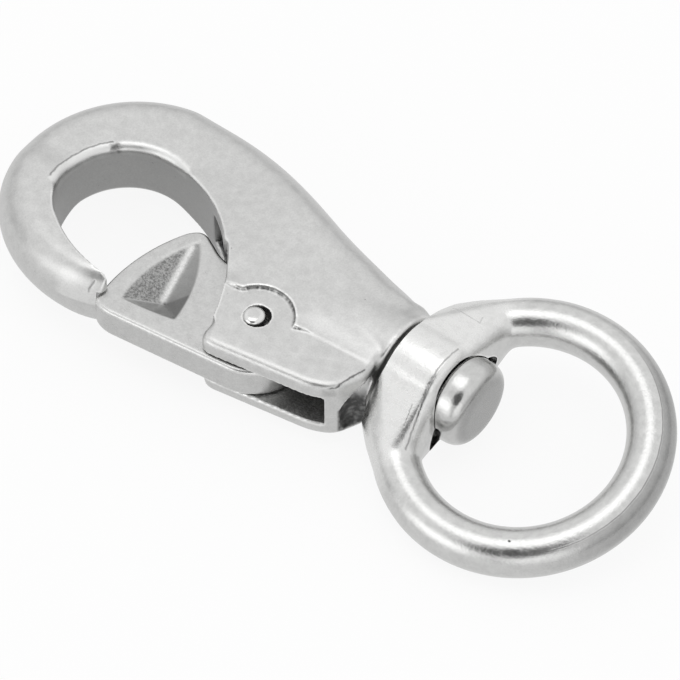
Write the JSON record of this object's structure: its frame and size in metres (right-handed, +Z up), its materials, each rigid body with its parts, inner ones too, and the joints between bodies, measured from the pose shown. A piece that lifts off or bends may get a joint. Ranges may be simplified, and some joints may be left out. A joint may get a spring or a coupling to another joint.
{
  "type": "swivel snap hook",
  "caption": "Swivel eye snap hook: cast hook with a sprung lever gate on a pin, and a ring that turns on a headed stud at its end.",
  "frame": {"origin": "on the flat underside of the hook's shoulder, under the swivel's axis", "axes": "+X along the swivel's axis from the hook to the ring, +Z up from the surface it lies on, -Y the side the gate is on"},
  "size_m": [0.0945, 0.0361, 0.0129],
  "materials": {
    "cast_steel": "investment-cast stainless steel, tumbled to a soft satin",
    "turned_steel": "turned stainless steel, smooth",
    "spring_steel": "drawn stainless spring wire"
  },
  "bodies": {
    "hook": {"hook_body": "cast_steel", "gate_pin": "turned_steel", "gate_spring": "spring_steel", "swivel_stud": "turned_steel"},
    "gate": {"gate": "cast_steel"},
    "ring": {"swivel_ring": "cast_steel"}
  },
  "joints": [
    {"name": "gate_pivot", "type": "hinge", "parent": "hook", "child": "gate", "pos_m": [-0.002, -0.0086, 0.00535], "axis": [0, 0, -1], "range_deg": [0, 40], "stiffness_Nm_per_rad": 0.05, "springref_deg": -34.38, "deforming": ["gate_spring"]},
    {"name": "ring_swivel", "type": "hinge", "parent": "hook", "child": "ring", "pos_m": [0.018, 0, 0.00535], "axis": [1, 0, 0], "continuous": true}
  ]
}
